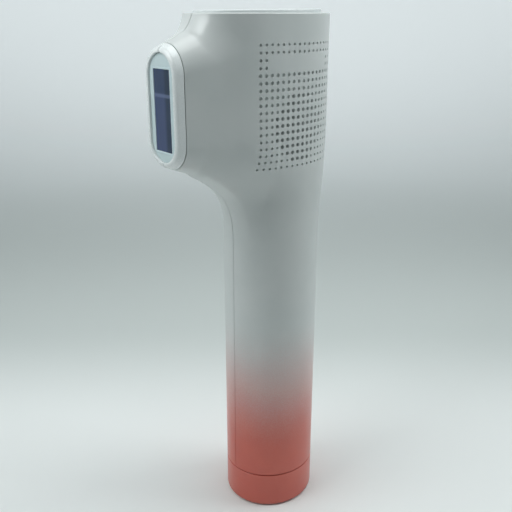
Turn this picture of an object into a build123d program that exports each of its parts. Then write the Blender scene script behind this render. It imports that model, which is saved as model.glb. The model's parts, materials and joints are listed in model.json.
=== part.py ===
from build123d import *
import os
from functools import lru_cache

import numpy as np

# IPL hair remover. Millimetres. +Z is up, -Y is the front (the lamp window), +X is the vented side.
# The origin is the centre of the foot face, on the axis of the handle.

# ---- body: an oval handle that widens into a head, with a nozzle in front ----
TOP_Z = 205.0
WALL = 2.0
FIT = 0.12                                   # gap round a piece that is fitted into a shell
HANDLE_HALF_WIDTH, HEAD_HALF_WIDTH = 18.5, 18.8
HANDLE_FRONT, HEAD_FRONT = 19.3, 34.8
HANDLE_BACK, HEAD_BACK = 19.5, 24.4
HEAD_SQUARENESS = 2.7                        # superellipse power of the head's front, 2 is an ellipse
BACK_FLARE = (124.0, 166.0)                  # heights between which the back and sides widen
FRONT_FLARE = (138.0, 165.0)                 # heights between which the front widens, inside the nozzle
LIP_FRONT, LIP_HALF_WIDTH = 48.9, 9.25       # the nozzle's stadium-shaped end
LIP_LOW, LIP_HIGH = 154.6, 194.5
FLARE_SIDE, FLARE_TOP, FLARE_UNDER = 0.268, 0.48, 0.38
NOZZLE_WIDEST, NOZZLE_ROOT = 17.2, 14.0
BLEND_UNDER, BLEND_OVER = 19.0, 7.0          # softness of the nozzle's root below and above
SHELL_FRONT = 46.0                           # the shells stop here, and the lamp ring goes on
OUTLINE_POINTS, RAY_START = 31, 60.0         # outlines are found along rays that start outside the body

# ---- seams and openings ----
CAP_SEAM_Z = 16.0
SEAM_GAP = 0.3
CAP_FLOOR = 2.2
CAP_ROUND = 1.8
CAP_LEDGE = 1.4                              # the foot plate lies on a ledge this wide
COVER_LEDGE_Z, COVER_THICK = 204.6, 1.8      # the cover's ledge lies just under the rim
CROWN_INSET, CROWN_Z, CROWN_TILT = 3.4, 206.2, 0.65  # its raised middle, higher at the back
PLATE_LOW_Z, PLATE_HIGH_Z = 13.0, CAP_SEAM_Z + SEAM_GAP / 2

# ---- screws: a boss on each side of the middle, at these X and Y ----
TOP_BOSSES = [(13.3, 6.5), (12.2, -24.5)]
FOOT_BOSSES = [(12.3, 7.5), (12.3, -7.5)]
BOSS_R, PILOT_R = 2.9, 0.85
TOP_BOSS_Z = (188.0, 198.0)
FOOT_BOSS_Z = (PLATE_HIGH_Z, 25.0)
SCREW_CLEARANCE = 0.1
HEAD_R, HEAD_HEIGHT = 1.7, 1.0
FOOT_SCREW, TOP_SCREW = 9.0, 8.0             # shank lengths
BRACKET_THICK, BRACKET_INSIDE = 1.8, 9.0     # the frame under the cover, and how far in it reaches

# ---- vents: a grid of dimples, open right through over the fan ----
VENT_PITCH, VENT_ROWS, VENT_COLUMNS = 2.5, 18, 16
VENT_TOP_Z, VENT_MID_Y = 194.8, -2.3
VENT_BLANK_ROWS, VENT_BLANK_COLUMNS = (2, 3), range(2, 14)
VENT_OPEN = {7: 4, 8: 6, 9: 8, 10: 10, 11: 10, 12: 10, 13: 10, 14: 8, 15: 6, 16: 4}
VENT_HOLE_R, DIMPLE_DEPTH = 0.72, 0.8

# ---- lamp ----
WINDOW = (9.75, 27.5)
WINDOW_Z = 173.8
BEZEL_Z, BEZEL_HALF_WIDTH = (156.3, 192.8), 7.4
RING_DEPTH, RING_ROUND, RING_GAP = 3.1, 1.1, 0.25
SPIGOT_BACK, SPIGOT_WALL = 40.3, 1.0         # the ring's sleeve inside the nozzle: its back, as a front distance
SHELF_FRONT, SHELF_DEPTH = 42.3, 5.2         # the sleeve's end shelves, which hold the keepers
NOTCH = (0.35, 3.0, 3.4)                     # the moulding notches at the ring's top and bottom
BORDER = 0.8                                 # width of the pale border round the glass
GLASS_BACK = 2.4                             # how far behind the ring's face the glass ends
BORDER_SINK, BEZEL_SINK, GLASS_SINK = 0.6, 0.7, 0.8
KEEPER_R, KEEPER_RISE = 1.5, 2.8
BULKHEAD_Y, QUARTZ_THICK = (-39.6, -37.6), 1.5
HOLDER_RISE = 17.5                           # half the height of the lamp holder
TUBE_Y, TUBE_R, TUBE_RISE = -27.0, 2.3, 20.0
REFLECTOR_R, REFLECTOR_WALL = 6.0, 0.6

# ---- cooling ----
FAN_SIZE, FAN_THICK = 25.0, 7.0
FAN_X, FAN_Z = 5.4, 166.1
FAN_BORE_R, HUB_R, SHAFT_R = 11.6, 5.4, 0.75
BLADES, BLADE_PITCH = 7, 38
FAN_SCREW_OFFSET, FAN_SCREW_R = 10.0, 1.0
SINK_FINS, SINK_PITCH = 10, 3.2
MIDFRAME_Z = (146.0, 148.4)

# ---- handle ----
CAPACITOR_R, CAPACITOR_Y = 10.5, -5.3
CAPACITOR_Z = (31.0, 78.0)
BOARD_Y, BOARD_THICK, BOARD_HALF_WIDTH, BOARD_Z = 7.0, 1.6, 13.0, (25.3, 84.0)
CORE_HEIGHT, CONNECTOR_HEIGHT = 5.2, 4.2
PANEL_Z, PANEL_HALF_WIDTH = (82.0, 141.0), 7.2
FLASH_Z, POWER_Z = 129.0, 92.0
FLASH_HALF_WIDTH, FLASH_LENGTH, POWER_R = 4.8, 17.0, 3.9
BUTTON_GAP, BUTTON_PROUD = 0.15, 0.5
PANEL_THICK, FLANGE_DEPTH = 3.2, 3.35        # depths under the body's surface
LED_Z, LIGHT_R = [99.5 + 3.8 * i for i in range(5)], 0.9
SWITCH_SEAT_Y, SWITCH_HEIGHT, STEM_R = 11.0, 3.4, 1.7
CONTROL_BOARD_THICK = 1.2
JACK_Y, JACK_DEPTH = 9.0, 10.0
JACK_R, JACK_BORE_R, JACK_PIN_R = 4.0, 2.8, 1.0


def ease(t):
    t = np.clip(t, 0, 1)
    return t * t * (3 - 2 * t)


def mix(a, b, t):
    return a + (b - a) * t


def soft_min(a, b, softness):
    near = np.maximum(softness - np.abs(a - b), 0) / softness
    return np.minimum(a, b) - near * near * softness / 4


def between(z, heights):
    return ease((z - heights[0]) / (heights[1] - heights[0]))


def trunk(z):
    """Half width, front reach, back reach and front squareness of the body at height z, without the nozzle."""
    wide, forward = between(z, BACK_FLARE), between(z, FRONT_FLARE)
    return (
        mix(HANDLE_HALF_WIDTH, HEAD_HALF_WIDTH, wide),
        mix(HANDLE_FRONT, HEAD_FRONT, forward),
        mix(HANDLE_BACK, HEAD_BACK, wide),
        mix(2.0, HEAD_SQUARENESS, forward),
    )


def distance(x, front, z, inset):
    """Signed distance, nearly, to the body's surface moved inwards by inset. front is -Y."""
    half_width, reach_front, reach_back, power = trunk(z)
    half_width = half_width - inset
    middle = (reach_front - reach_back) / 2
    reach = (reach_front + reach_back) / 2 - inset
    power = np.where(front > middle, power, 2.0)
    across = np.abs(x / half_width) + 1e-9
    along = np.abs((front - middle) / reach) + 1e-9
    size = (across**power + along**power) ** (1 / power)
    slope = np.hypot(across ** (power - 1) / half_width, along ** (power - 1) / reach)
    to_trunk = (size - 1) * size ** (power - 1) / slope

    behind_lip = LIP_FRONT - front
    cone = LIP_HALF_WIDTH + FLARE_SIDE * behind_lip
    half_width = (cone + NOZZLE_WIDEST - np.hypot(cone - NOZZLE_WIDEST, 1.2)) / 2 - inset
    high = LIP_HIGH + FLARE_TOP * behind_lip - inset - half_width
    low = LIP_LOW - FLARE_UNDER * behind_lip + inset + half_width
    beyond = np.maximum(np.maximum(z - high, low - z), 0)
    to_nozzle = (np.hypot(x, beyond) - half_width) * 0.93
    to_nozzle = np.maximum(to_nozzle, NOZZLE_ROOT - front)
    softness = mix(BLEND_UNDER, BLEND_OVER, ease((z - 150) / 30))
    softness = softness * (1 - ease((front - 36) / 9)) * ease((front - 4) / 14)
    softness = softness * (1 - 0.8 * ease((np.abs(x) - 7) / 9)) + 0.3
    return soft_min(to_trunk, to_nozzle, softness)


def half_outline(z, inset):
    """Points of the right half of the body's outline at height z, from the back to the front, closer at the front."""
    middle = (trunk(z)[1] - trunk(z)[2]) / 2
    angle = np.radians(90 - 180 * np.linspace(1, 0, OUTLINE_POINTS) ** 1.5)
    outside = np.full(OUTLINE_POINTS, RAY_START)
    for radius in np.arange(RAY_START - 0.5, 3.0, -0.5):
        x, front = radius * np.cos(angle), middle + radius * np.sin(angle)
        found = (distance(x, front, z, inset) < 0) & (outside == RAY_START)
        outside = np.where(found, radius + 0.5, outside)
    inside = outside - 0.5
    for _ in range(20):
        radius = (inside + outside) / 2
        hit = distance(radius * np.cos(angle), middle + radius * np.sin(angle), z, inset) < 0
        inside, outside = np.where(hit, radius, inside), np.where(hit, outside, radius)
    x, front = inside * np.cos(angle), middle + inside * np.sin(angle)
    x[0] = x[-1] = 0.0
    return [(float(a), -float(b), z) for a, b in zip(x, front)]


def half_section(z, inset):
    """The right half of the body's outline at height z, closed along the middle."""
    points = half_outline(z, inset)
    right = Edge.make_spline([Vector(*p) for p in points], tangents=[Vector(1, 0, 0), Vector(-1, 0, 0)])
    return Wire([right, Edge.make_line(points[-1], points[0])])


def heights(low, high):
    """Section heights between low and high: far apart up the handle, closer where the shape changes."""
    fine = [124, 130, 135, 139, 142, 145, 147.5, 149.5, 151.5, 153.5, 155.5, 158, 161, 165, 172, 180, 185, 188,
            190, 192, 193.5, 195, 196.5, 198, 199.5, 201, 203]
    return [low] + [float(z) for z in fine if low + 0.5 < z < high - 0.5] + [high]


def block(x, y, z):
    """A box between two values on each axis."""
    size = (x[1] - x[0], y[1] - y[0], z[1] - z[0])
    return Pos((x[0] + x[1]) / 2, (y[0] + y[1]) / 2, (z[0] + z[1]) / 2) * Box(*size)


def rod(radius, x, y, z):
    """A cylinder along the one axis that is given as a pair of values."""
    if isinstance(z, tuple):
        return Pos(x, y, (z[0] + z[1]) / 2) * Cylinder(radius, z[1] - z[0])
    if isinstance(y, tuple):
        return Pos(x, (y[0] + y[1]) / 2, z) * Rot(90, 0, 0) * Cylinder(radius, y[1] - y[0])
    return Pos((x[0] + x[1]) / 2, y, z) * Rot(0, 90, 0) * Cylinder(radius, x[1] - x[0])


@lru_cache
def half_body(inset):
    """The right half of the body, moved inwards by inset, from just under the foot to just over the top."""
    low, high = -1.0, TOP_Z + 1
    solid = Solid.make_loft([half_section(z, inset) for z in heights(low, high)], True)
    return solid - block((-1, 60), (-100, -SHELL_FRONT), (low - 1, high + 1))


def both_sides(half):
    return half + half.mirror(Plane.YZ)


def outline_plate(inset, outline_z, low, high):
    """A flat plate between two heights, with the body's outline at outline_z."""
    half = extrude(Pos(0, 0, low - outline_z) * Face(half_section(outline_z, inset)), amount=high - low, dir=(0, 0, 1))
    return both_sides(half)


def handle_slab(inset, low, high):
    """The handle below the head, where its outline is the same oval at every height."""
    reach = (HANDLE_FRONT + HANDLE_BACK) / 2 - inset
    oval = Pos(0, (HANDLE_BACK - HANDLE_FRONT) / 2, low) * Ellipse(HANDLE_HALF_WIDTH - inset, reach)
    return extrude(oval, amount=high - low)


def stadium_at(front, half_width, low, high):
    """A vertical stadium outline, facing the front."""
    length = high - low
    outline = SlotOverall(length, half_width * 2, rotation=90)
    return Pos(0, -front, (low + high) / 2) * Rot(90, 0, 0) * outline


def stadium_prism(y, half_width, low, high):
    return extrude(stadium_at(-y[1], half_width, low, high), amount=y[1] - y[0])


def vent_radius(row):
    """Dimples are largest level with the top of the fan and shrink towards the bottom of the grid."""
    if row < 4:
        return 0.5 + 0.03 * row
    return 0.66 - 0.018 * max(row - 6, 0)


def vent_cutters():
    cutters = []
    middle = (VENT_COLUMNS - 1) / 2
    for row in range(VENT_ROWS):
        for column in range(VENT_COLUMNS):
            if row in VENT_BLANK_ROWS and column in VENT_BLANK_COLUMNS:
                continue
            y = VENT_MID_Y + (column - middle) * VENT_PITCH * (1 - 0.0025 * (column - middle) ** 2 / 4)
            z = VENT_TOP_Z - VENT_PITCH * row
            if abs(column - middle) < VENT_OPEN.get(row, 0) / 2:
                cutters.append(rod(VENT_HOLE_R, (10, 22), y, z))
            else:
                surface = side_x(y, z)
                cutters.append(rod(vent_radius(row), (surface - DIMPLE_DEPTH, surface + 2), y, z))
    return cutters


def side_x(y, z):
    """Where the body's right side is at a given Y and Z."""
    low, high = 5.0, 30.0
    for _ in range(24):
        x = (low + high) / 2
        low, high = (x, high) if distance(x, -y, z, 0.0) < 0 else (low, x)
    return low


def half_shell():
    low, high = CAP_SEAM_Z + SEAM_GAP / 2, TOP_Z
    keep = block((-1, 60), (-80, 60), (low, high))
    outer = half_body(0.0) & keep
    shell = outer - half_body(WALL)
    for places, z in ((TOP_BOSSES, TOP_BOSS_Z), (FOOT_BOSSES, FOOT_BOSS_Z)):
        for x, y in places:
            shell += rod(BOSS_R, x, y, z) & outer
            shell -= rod(PILOT_R, x, y, z)
    opening = stadium_prism((12, 30), PANEL_HALF_WIDTH + FIT, PANEL_Z[0] - FIT, PANEL_Z[1] + FIT)
    return shell - opening


def make_shells():
    shell = half_shell()
    return {"left_shell": shell.mirror(Plane.YZ), "right_shell": shell - vent_cutters()}


def make_foot():
    high = CAP_SEAM_Z - SEAM_GAP / 2
    cap = handle_slab(0.0, 0.0, high)
    cap = fillet(cap.edges().group_by(Axis.Z)[0], CAP_ROUND)
    cap -= handle_slab(WALL, PLATE_LOW_Z, high + 1)
    cap -= handle_slab(WALL + CAP_LEDGE, CAP_FLOOR, PLATE_LOW_Z)
    cap -= rod(JACK_R + 0.1, 0, JACK_Y, (-1, CAP_FLOOR + 1))
    plate = handle_slab(WALL + FIT, PLATE_LOW_Z, PLATE_HIGH_Z)
    plate -= block((-7, 7), (-5, 4.0), (PLATE_LOW_Z - 1, PLATE_HIGH_Z + 1))
    screws = []
    for x, y in FOOT_BOSSES:
        for side in (-1, 1):
            screws.append(screw(side * x, y, PLATE_LOW_Z + HEAD_HEIGHT, FOOT_SCREW, 1))
            plate -= rod(HEAD_R + 0.2, side * x, y, (PLATE_LOW_Z - 1, PLATE_LOW_Z + HEAD_HEIGHT))
            plate -= rod(PILOT_R + SCREW_CLEARANCE, side * x, y, (PLATE_LOW_Z, PLATE_HIGH_Z + 1))
    jack = rod(JACK_R, 0, JACK_Y, (0.3, CAP_FLOOR))
    jack += block((-4.5, 4.5), (JACK_Y - 5, JACK_Y + 5), (CAP_FLOOR, PLATE_LOW_Z))
    jack -= rod(JACK_BORE_R, 0, JACK_Y, (0, JACK_DEPTH))
    pin = rod(JACK_PIN_R, 0, JACK_Y, (1.5, JACK_DEPTH))
    return {
        "bottom_cap": cap,
        "foot_plate": plate,
        "foot_screws": Compound(screws),
        "dc_jack": jack,
        "dc_jack_pin": pin,
    }


def screw(x, y, seat_z, length, up):
    """A pan-head screw along Z: up is 1 when its shank points up from the seat, -1 when it points down."""
    slot_z = seat_z - up * HEAD_HEIGHT
    head = rod(HEAD_R, x, y, (min(seat_z, slot_z), max(seat_z, slot_z)))
    shank = rod(PILOT_R, x, y, (min(seat_z, seat_z + up * length), max(seat_z, seat_z + up * length)))
    return head + shank - Pos(x, y, slot_z) * Box(2.2, 0.5, 0.8) - Pos(x, y, slot_z) * Box(0.5, 2.2, 0.8)


def make_top():
    cover_low = COVER_LEDGE_Z - COVER_THICK
    cover = outline_plate(WALL + FIT, COVER_LEDGE_Z, cover_low, COVER_LEDGE_Z)
    crown = outline_plate(CROWN_INSET, COVER_LEDGE_Z, COVER_LEDGE_Z - 0.5, CROWN_Z + 2)
    crown -= Pos(0, 0, CROWN_Z) * Rot(CROWN_TILT, 0, 0) * block((-40, 40), (-60, 60), (0, 10))
    low, high = TOP_BOSS_Z[1], TOP_BOSS_Z[1] + BRACKET_THICK
    bracket = outline_plate(WALL + FIT, COVER_LEDGE_Z, low, high)
    bracket -= outline_plate(BRACKET_INSIDE, COVER_LEDGE_Z, low - 1, high + 1)
    bracket -= block((-4, 4), (-60, 0), (low - 1, high + 1))
    for x in (-9.0, 9.0):
        for y in (-16.0, 14.0):
            bracket += rod(1.6, x * 1.25, y, (high, cover_low))
    screws = []
    for x, y in TOP_BOSSES:
        for side in (-1, 1):
            bracket += rod(2.2, side * x, y, (low, high))
            bracket -= rod(PILOT_R + SCREW_CLEARANCE, side * x, y, (low - 1, high + 1))
            screws.append(screw(side * x, y, high, TOP_SCREW, -1))
    bracket &= outline_plate(WALL + FIT, COVER_LEDGE_Z, low - 1, COVER_LEDGE_Z)
    return {"top_cover": cover + crown, "top_bracket": bracket, "top_screws": Compound(screws)}


def flared_stadium(front, grow=0.0):
    """The nozzle's stadium outline at a distance in front, as a face."""
    behind = LIP_FRONT - front
    half_width = LIP_HALF_WIDTH + FLARE_SIDE * behind + grow
    return stadium_at(front, half_width, LIP_LOW - FLARE_UNDER * behind - grow, LIP_HIGH + FLARE_TOP * behind + grow)


def make_attachment():
    back = SHELL_FRONT + RING_GAP
    face = back + RING_DEPTH
    low, high = BEZEL_Z
    inside = BEZEL_HALF_WIDTH - BORDER
    ring = loft([flared_stadium(back), flared_stadium(face)], ruled=True)
    ring = fillet(ring.faces().sort_by(Axis.Y)[0].edges(), RING_ROUND)
    ring += stadium_prism((-back, -SPIGOT_BACK), inside + SPIGOT_WALL, low - 0.2, high + 0.2)
    ring -= stadium_prism((-60, -39), inside, low + BORDER, high - BORDER)
    ring -= stadium_prism((-60, -back), BEZEL_HALF_WIDTH, low, high)
    for z in (LIP_LOW, LIP_HIGH):
        ring -= Pos(0, -face, z) * Box(*NOTCH)
    keeper_z = (low + KEEPER_RISE, high - KEEPER_RISE)
    shelf = stadium_prism((-SHELF_FRONT, -SPIGOT_BACK), inside, low + BORDER, high - BORDER)
    shelf -= block((-7, 7), (-43, -40), (low + SHELF_DEPTH, high - SHELF_DEPTH))
    ring += shelf - [rod(KEEPER_R, 0, (-43, -40), z) for z in keeper_z]
    half_w, half_h = WINDOW[0] / 2, WINDOW[1] / 2
    glass_back = -face + GLASS_BACK
    outer = block((-half_w - BORDER, half_w + BORDER), (-face + BORDER_SINK, glass_back),
                  (WINDOW_Z - half_h - BORDER, WINDOW_Z + half_h + BORDER))
    glass = block((-half_w, half_w), (-face + GLASS_SINK, glass_back), (WINDOW_Z - half_h, WINDOW_Z + half_h))
    return {
        "lamp_ring": ring,
        "bezel_plate": stadium_prism((-face + BEZEL_SINK, -back), BEZEL_HALF_WIDTH, low, high) - outer,
        "glass_frame": outer - glass,
        "filter_glass": glass,
        "attachment_keepers": Compound([rod(KEEPER_R, 0, (-SHELF_FRONT, -SPIGOT_BACK), z) for z in keeper_z]),
    }


def window_box(x, y, rise):
    """A box centred on the window's height, reaching rise above and below it."""
    return block((-x, x), y, (WINDOW_Z - rise, WINDOW_Z + rise))


def make_lamp():
    low, high = BEZEL_Z
    inside = BEZEL_HALF_WIDTH - BORDER
    bulkhead = both_sides(half_body(WALL + FIT) & block((-1, 30), BULKHEAD_Y, (140, 205)))
    bulkhead -= window_box(6.0, (-45, -35), 14.8)
    magnets = [rod(KEEPER_R, 0, (-40.0, -38.4), z) for z in (low + KEEPER_RISE, high - KEEPER_RISE)]
    bulkhead -= magnets
    gasket = stadium_prism((BULKHEAD_Y[0] - 0.6, BULKHEAD_Y[0]), inside + 0.9, low - 0.1, high + 0.1)
    gasket -= stadium_prism((-41, -39), inside + 0.1, low + 0.7, high - 0.7)
    holder_y = (BULKHEAD_Y[1] + QUARTZ_THICK, -17.0)
    window = window_box(7.0, (BULKHEAD_Y[1], holder_y[0]), 15.6)
    holder = both_sides(block((0, 8), holder_y, (WINDOW_Z - HOLDER_RISE, WINDOW_Z + HOLDER_RISE)) & half_body(WALL + FIT))
    holder -= window_box(6.4, (-37, -19.0), 14.5)
    tube = rod(TUBE_R, 0, TUBE_Y, (WINDOW_Z - TUBE_RISE, WINDOW_Z + TUBE_RISE))
    holder -= tube
    electrodes = [rod(1.7, 0, TUBE_Y, (z, z + 3.0)) for z in (WINDOW_Z - TUBE_RISE - 3.0, WINDOW_Z + TUBE_RISE)]
    trough = rod(REFLECTOR_R, 0, TUBE_Y, (WINDOW_Z - 14.4, WINDOW_Z + 14.4))
    trough += window_box(REFLECTOR_R, (holder_y[0], TUBE_Y), 14.4)
    hollow = REFLECTOR_R - REFLECTOR_WALL
    trough -= rod(hollow, 0, TUBE_Y, (WINDOW_Z - 20, WINDOW_Z + 20)) + window_box(hollow, (-40, TUBE_Y), 20)
    return {
        "nozzle_bulkhead": bulkhead,
        "latch_magnets": Compound(magnets),
        "window_gasket": gasket,
        "quartz_window": window,
        "lamp_holder": holder,
        "flash_tube": tube,
        "tube_electrodes": Compound(electrodes),
        "reflector": trough,
    }


def make_fan():
    """A small axial fan that blows out of the vents, with its rotor on a shaft along X."""
    y, z = VENT_MID_Y, FAN_Z
    half = FAN_SIZE / 2
    x0, x1 = FAN_X, FAN_X + FAN_THICK
    plate_x = (x0, x0 + 1.0)
    frame = block((x0, x1), (y - half, y + half), (z - half, z + half)) - rod(FAN_BORE_R, (x0 - 1, x1 + 1), y, z)
    for turn in (30, 150, 270):
        strut = Pos(0, 0, 8.2) * Box(1.0, 1.6, 7.4)
        frame += Pos(x0 + 0.5, y, z) * Rot(turn, 0, 0) * strut
    frame += rod(4.8, plate_x, y, z)
    frame -= rod(SHAFT_R + 0.05, (x0 - 1, x0 + 2), y, z)
    corners = [(y + a * FAN_SCREW_OFFSET, z + b * FAN_SCREW_OFFSET) for a in (-1, 1) for b in (-1, 1)]
    for corner_y, corner_z in corners:
        frame -= rod(FAN_SCREW_R, (x0 - 1, x1 + 1), corner_y, corner_z)
        frame -= rod(HEAD_R, (x0 - 1, x0 + 0.2), corner_y, corner_z)
    rotor = rod(HUB_R, (x0 + 1.2, x1 - 0.4), y, z) - rod(HUB_R - 0.7, (x0 + 1, x1 - 1.2), y, z)
    for index in range(BLADES):
        blade = Pos(0, 0, 8.1) * Rot(0, 0, BLADE_PITCH) * Box(0.8, 4.6, 6.2)
        rotor += Pos((x0 + x1) / 2 + 0.4, y, z) * Rot(index * 360 / BLADES, 0, 0) * blade
    rotor -= rod(SHAFT_R, (x0, x1), y, z)
    duct = block((x1, 20), (y - half, y + half), (z - half, z + half)) & half_body(WALL + 0.05)
    duct -= rod(FAN_BORE_R + 0.3, (x1 - 1, 25), y, z)
    screws = [rod(FAN_SCREW_R, (x0 + 0.2, x1), a, b) + rod(HEAD_R, (x0 - 1.0, x0 + 0.2), a, b) for a, b in corners]
    return {
        "fan_frame": frame,
        "fan_rotor": rotor,
        "fan_shaft": rod(SHAFT_R, (x0 + 0.1, x1 - 0.4), y, z),
        "fan_duct": duct,
        "fan_screws": Compound(screws),
    }


def make_heat_sink():
    """A finned sink beside the fan, with its temperature sensor on top."""
    plate_y = (-17.0, -15.0)
    sink = block((-13, 4.6), plate_y, (158.5, 189.0))
    for index in range(SINK_FINS):
        low = 159.0 + SINK_PITCH * index
        sink += block((-13, 4.4), (plate_y[1], -2.0), (low, low + 0.9))
    sensor = rod(1.0, (-9.0, -5.0), -15.9, 190.0)
    return {"heat_sink": sink, "temperature_sensor": sensor}


def make_midframe():
    """The shelf between head and handle, with the posts that carry the lamp, the fan and the heat sink."""
    low, high = MIDFRAME_Z
    beyond = (low - 1, high + 1)
    frame = outline_plate(WALL + FIT, low, low, high)
    frame -= block((-9, 9), (10.5, 30), beyond)
    frame -= block((-12, -4), (-4, 6), beyond)
    frame -= block((-2.6, 2.6), (-29.6, -19.0), beyond)
    frame += block((-8, 8), (-24, -17.0), (high, WINDOW_Z - HOLDER_RISE)) - block((-3.5, 3.5), (-30, -10), (high, 160))
    frame += block((FAN_X + 0.5, FAN_X + 5.5), (-10, 6), (high, FAN_Z - FAN_SIZE / 2))
    frame += block((-12, 3), (-16.6, -14.0), (high, 158.5))
    coil = rod(3.2, -7.5, -8.6, (high, high + 9.0))
    return {"midframe": frame, "trigger_coil": coil}


def make_handle_electronics():
    """The main board with what is soldered to it, and the flash capacitor in its chassis."""
    low, high = CAPACITOR_Z
    back = BOARD_Y + BOARD_THICK
    board = block((-BOARD_HALF_WIDTH, BOARD_HALF_WIDTH), (BOARD_Y, back), BOARD_Z)
    capacitor = rod(CAPACITOR_R, 0, CAPACITOR_Y, (low, high))
    capacitor = fillet(capacitor.edges(), 0.9)
    discs = []
    for z0 in (low - 3.0, high + 0.3):
        disc = handle_slab(WALL + 0.3, z0, z0 + 2.7)
        disc -= block((-BOARD_HALF_WIDTH - 0.02, BOARD_HALF_WIDTH + 0.02), (BOARD_Y, back), (z0 - 1, z0 + 4))
        disc -= block((-9, 9), (back + 2, 30), (z0 - 1, z0 + 4))
        discs.append(disc)
    chassis = discs[0] + discs[1]
    for side in (-1, 1):
        chassis += block(sorted((side * 11.3, side * 13.4)), (-0.5, 3.5), (low - 1, high + 1))
    for x, y in FOOT_BOSSES:
        for side in (-1, 1):
            chassis -= rod(BOSS_R + 0.4, side * x, y, (20, 25.6))
    winding_z = (62.5, 71.5)
    core = block((-7, 7), (back, back + CORE_HEIGHT), (60, 74)) - block((-4, 4), (back - 1, back + 7), winding_z)
    winding = block((-4, 4), (back, back + CORE_HEIGHT), winding_z)
    transistors = [block((x, x + 7.6), (back, back + 3.8), (38, 52)) for x in (-9.2, 1.6)]
    chips = [
        block((-4, 4), (back, back + 1.4), (54, 58)),
        block((5.5, 8.5), (back, back + 2.2), (54, 58)),
        rod(2.4, -7.5, (back, back + 5.0), 34.0),
        rod(2.4, 0.0, (back, back + 5.0), 34.0),
    ]
    connectors = [
        block((-6, 6), (BOARD_Y - CONNECTOR_HEIGHT, BOARD_Y), (25.4, 27.8)),
        block((-5, 5), (BOARD_Y - CONNECTOR_HEIGHT, BOARD_Y), (81.3, 83.9)),
    ]
    return {
        "main_board": board,
        "flash_capacitor": capacitor,
        "chassis": chassis,
        "transformer_core": core,
        "transformer_winding": winding,
        "power_transistors": Compound(transistors),
        "board_components": Compound(chips),
        "board_connectors": Compound(connectors),
    }


def pressed_outline(half_width, length, z, grow):
    """The stadium of a button or of its hole, as a prism through the back wall."""
    return stadium_prism((8, 30), half_width + grow, z - length / 2 - grow, z + length / 2 + grow)


def make_controls():
    """The panel on the back with its two buttons and level lights, and the small board behind it."""
    low, high = PANEL_Z
    near = block((-1, 12), (5, 40), (low - 4, high + 4))
    depths = (-BUTTON_PROUD, 0.0, WALL + FIT, PANEL_THICK, FLANGE_DEPTH, FLANGE_DEPTH + 0.95)
    skins = {inset: both_sides(half_body(inset) & near) for inset in depths}
    buttons = {
        "flash": (FLASH_HALF_WIDTH, FLASH_LENGTH, FLASH_Z),
        "power": (POWER_R, 2 * POWER_R + 0.02, POWER_Z),
    }
    panel = (skins[0.0] - skins[PANEL_THICK]) & stadium_prism((8, 30), PANEL_HALF_WIDTH, low, high)
    flange = skins[WALL + FIT] - skins[PANEL_THICK]
    flange &= stadium_prism((8, 30), PANEL_HALF_WIDTH + 1.3, low - 1.3, high + 1.3)
    panel += flange
    board_y = SWITCH_SEAT_Y
    pieces = {}
    for name, shape in buttons.items():
        z = shape[2]
        panel -= pressed_outline(*shape, BUTTON_GAP)
        cap = (skins[depths[0]] - skins[depths[4]]) & pressed_outline(*shape, 0.0)
        cap += (skins[depths[4]] - skins[depths[5]]) & pressed_outline(*shape, 0.7)
        stem_top = half_outline(z, depths[5])[0][1] + 0.25
        cap -= block((-8, 8), (8, stem_top), (z - 20, z + 20))
        seat = board_y + SWITCH_HEIGHT
        case = block((-3, 3), (board_y, seat), (z - 3, z + 3)) - rod(STEM_R + 0.05, 0, (seat - 1.4, seat + 1), z)
        pieces[name + "_button"] = cap
        pieces[name + "_switch"] = case
        pieces[name + "_switch_stem"] = rod(STEM_R, 0, (seat - 0.6, stem_top), z)
    board = block((-7.6, 7.6), (board_y - CONTROL_BOARD_THICK, board_y), (86, 140))
    screws = []
    posts = [(x, z) for x in (-5.7, 5.7) for z in (98.5, 118.0)]
    for x, z in posts:
        post = rod(1.5, x, (board_y, 18.0), z) & skins[PANEL_THICK]
        panel += post
        panel -= rod(0.6, x, (board_y - 1, board_y + 4.5), z)
        board -= rod(0.6, x, (board_y - 3, board_y + 1), z)
        seat = board_y - CONTROL_BOARD_THICK
        screws.append(rod(0.6, x, (seat, board_y + 4.5), z) + rod(1.2, x, (seat - 0.8, seat), z))
    lights, leds = [], []
    for z in LED_Z:
        lights.append(rod(LIGHT_R, 0, (board_y + 1.0, 25), z) & skins[0.0])
        leds.append(block((-0.8, 0.8), (board_y, board_y + 0.8), (z - 0.8, z + 0.8)))
        panel -= rod(LIGHT_R, 0, (8, 30), z)
    return {
        "control_panel": panel,
        "control_board": board,
        "control_board_screws": Compound(screws),
        "light_guides": Compound(lights),
        "level_leds": Compound(leds),
        **pieces,
    }


def wire(points, radius, bend):
    path = FilletPolyline(*points, radius=bend)
    start = Plane(origin=path @ 0, z_dir=path % 0)
    return sweep(start * Circle(radius), path=path)


def make_wires():
    power = [
        wire([(x, 3.0, PLATE_LOW_Z - 4), (x, 3.0, 19), (x * 1.4, 4.9, 22), (x * 1.4, 4.9, 25.4)], 0.7, 1.4)
        for x in (-2.5, 2.5)
    ]
    lamp = [
        wire([(-2, 5, 83.9), (-2, 5, 95), (-2.5, -10, 128), (-1, -20, 144), (0, -27, 147.2), (0, -27, 150.8)], 0.8, 1.5),
    ]
    fan = [wire([(2.5, 5, 83.9), (2.5, 5, 95), (-6.5, 1.0, 128), (-6.5, 1.0, 151.5)], 0.6, 4.0)]
    return {"power_wires": Compound(power), "lamp_wire": Compound(lamp), "fan_wire": Compound(fan)}


def main():
    os.makedirs("parts", exist_ok=True)
    pieces = {}
    for make in (make_shells, make_foot, make_top, make_attachment, make_lamp, make_fan, make_heat_sink,
                 make_midframe, make_handle_electronics, make_controls, make_wires):
        pieces.update(make())
    for name, shape in pieces.items():
        export_step(shape, f"parts/{name}.step")


main()
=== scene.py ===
import json
import math

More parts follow.
